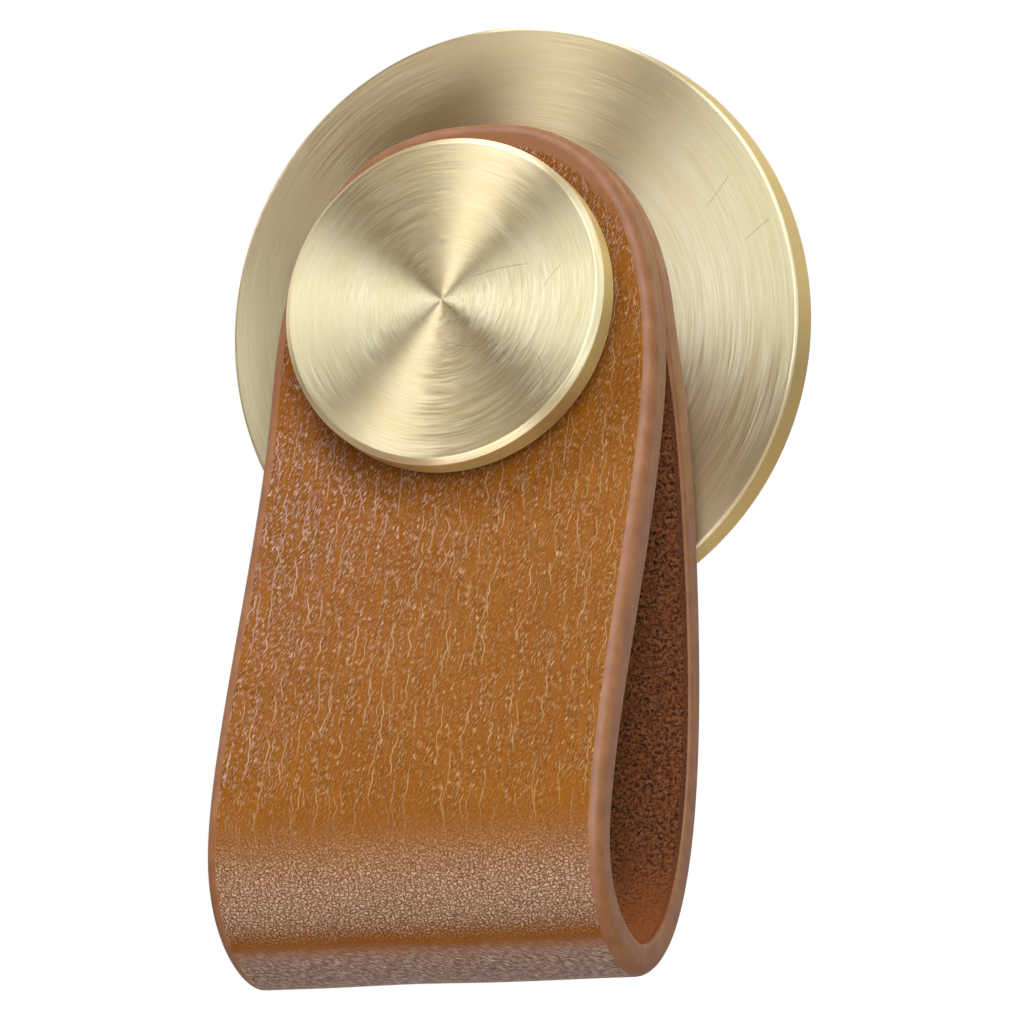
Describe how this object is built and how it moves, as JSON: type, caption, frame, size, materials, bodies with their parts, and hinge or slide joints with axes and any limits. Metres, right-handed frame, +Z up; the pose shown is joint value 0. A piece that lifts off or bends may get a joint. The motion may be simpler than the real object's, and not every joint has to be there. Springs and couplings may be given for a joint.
{
  "type": "leather strap pull",
  "caption": "Folded leather finger-loop pull, its round ends clamped between a large round brass backplate and a small brass button by a machine screw from behind the door.",
  "frame": {"origin": "on the fixing screw's axis, in the plane of the backplate's back face", "axes": "+Y into the door along the screw, +Z up, -Z the way the loop hangs, X across the strap"},
  "size_m": [0.06, 0.058, 0.0962],
  "materials": {
    "backplate_brass": "satin, turned with a circular brushing",
    "strap_leather": "waxed cognac grain with painted edges and a suede inner face",
    "button_brass": "satin, turned with a circular brushing",
    "screw_steel": "zinc-plated steel"
  },
  "bodies": {
    "root": {"backplate": "backplate_brass", "leather_strap": "strap_leather", "button": "button_brass", "fixing_screw": "screw_steel"}
  },
  "joints": []
}
